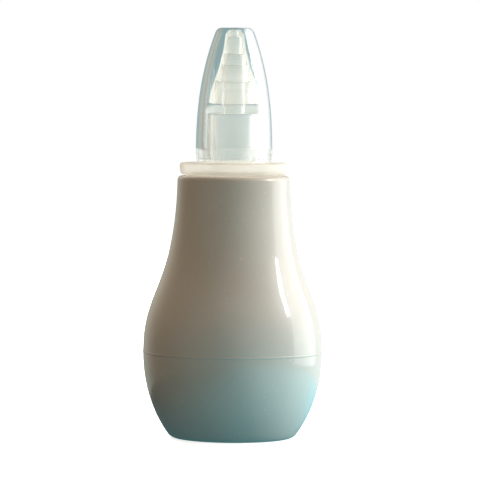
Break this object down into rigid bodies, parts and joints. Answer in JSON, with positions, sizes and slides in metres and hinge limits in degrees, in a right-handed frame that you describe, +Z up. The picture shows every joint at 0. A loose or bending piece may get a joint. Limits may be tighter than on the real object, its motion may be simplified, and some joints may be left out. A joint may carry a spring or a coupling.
{
  "type": "nasal aspirator",
  "caption": "Hand-squeezed bulb nasal aspirator with a flat base, translucent collar and nozzle chamber, soft stepped tip and clear push-on cap.",
  "frame": {"origin": "centre of the flat base, on the surface the aspirator stands on", "axes": "+Z up along the axis that every piece is turned about, from the base to the tip; +X and +Y are alike"},
  "size_m": [0.0504, 0.0504, 0.1141],
  "materials": {
    "bulb": "smooth glossy warm grey-white elastomer",
    "collar_plastic": "natural cream translucent plastic, satin gloss",
    "chamber_plastic": "milky translucent plastic",
    "tip_silicone": "frosted translucent silicone",
    "clear_cap": "clear polished plastic"
  },
  "bodies": {
    "bulb_base": {"bulb_lower": "bulb"},
    "bulb_shoulder": {"bulb_upper": "bulb"},
    "collar_body": {"collar": "collar_plastic"},
    "chamber_body": {"nozzle_chamber": "chamber_plastic"},
    "tip_body": {"soft_tip": "tip_silicone"},
    "cap_body": {"protective_cap": "clear_cap"}
  },
  "joints": [
    {"name": "bulb_press", "type": "slide", "parent": "bulb_base", "child": "bulb_shoulder", "axis": [0, 0, -1], "range_m": [0, 0.012], "stiffness_N_per_m": 2000, "deforming": ["bulb_upper"]},
    {"name": "collar_pull", "type": "slide", "parent": "bulb_shoulder", "child": "collar_body", "axis": [0, 0, 1], "range_m": [0, 0.012]},
    {"name": "chamber_pull", "type": "slide", "parent": "collar_body", "child": "chamber_body", "axis": [0, 0, 1], "range_m": [0, 0.015]},
    {"name": "tip_pull", "type": "slide", "parent": "chamber_body", "child": "tip_body", "axis": [0, 0, 1], "range_m": [0, 0.015]},
    {"name": "cap_pull", "type": "slide", "parent": "tip_body", "child": "cap_body", "axis": [0, 0, 1], "range_m": [0, 0.042]}
  ]
}
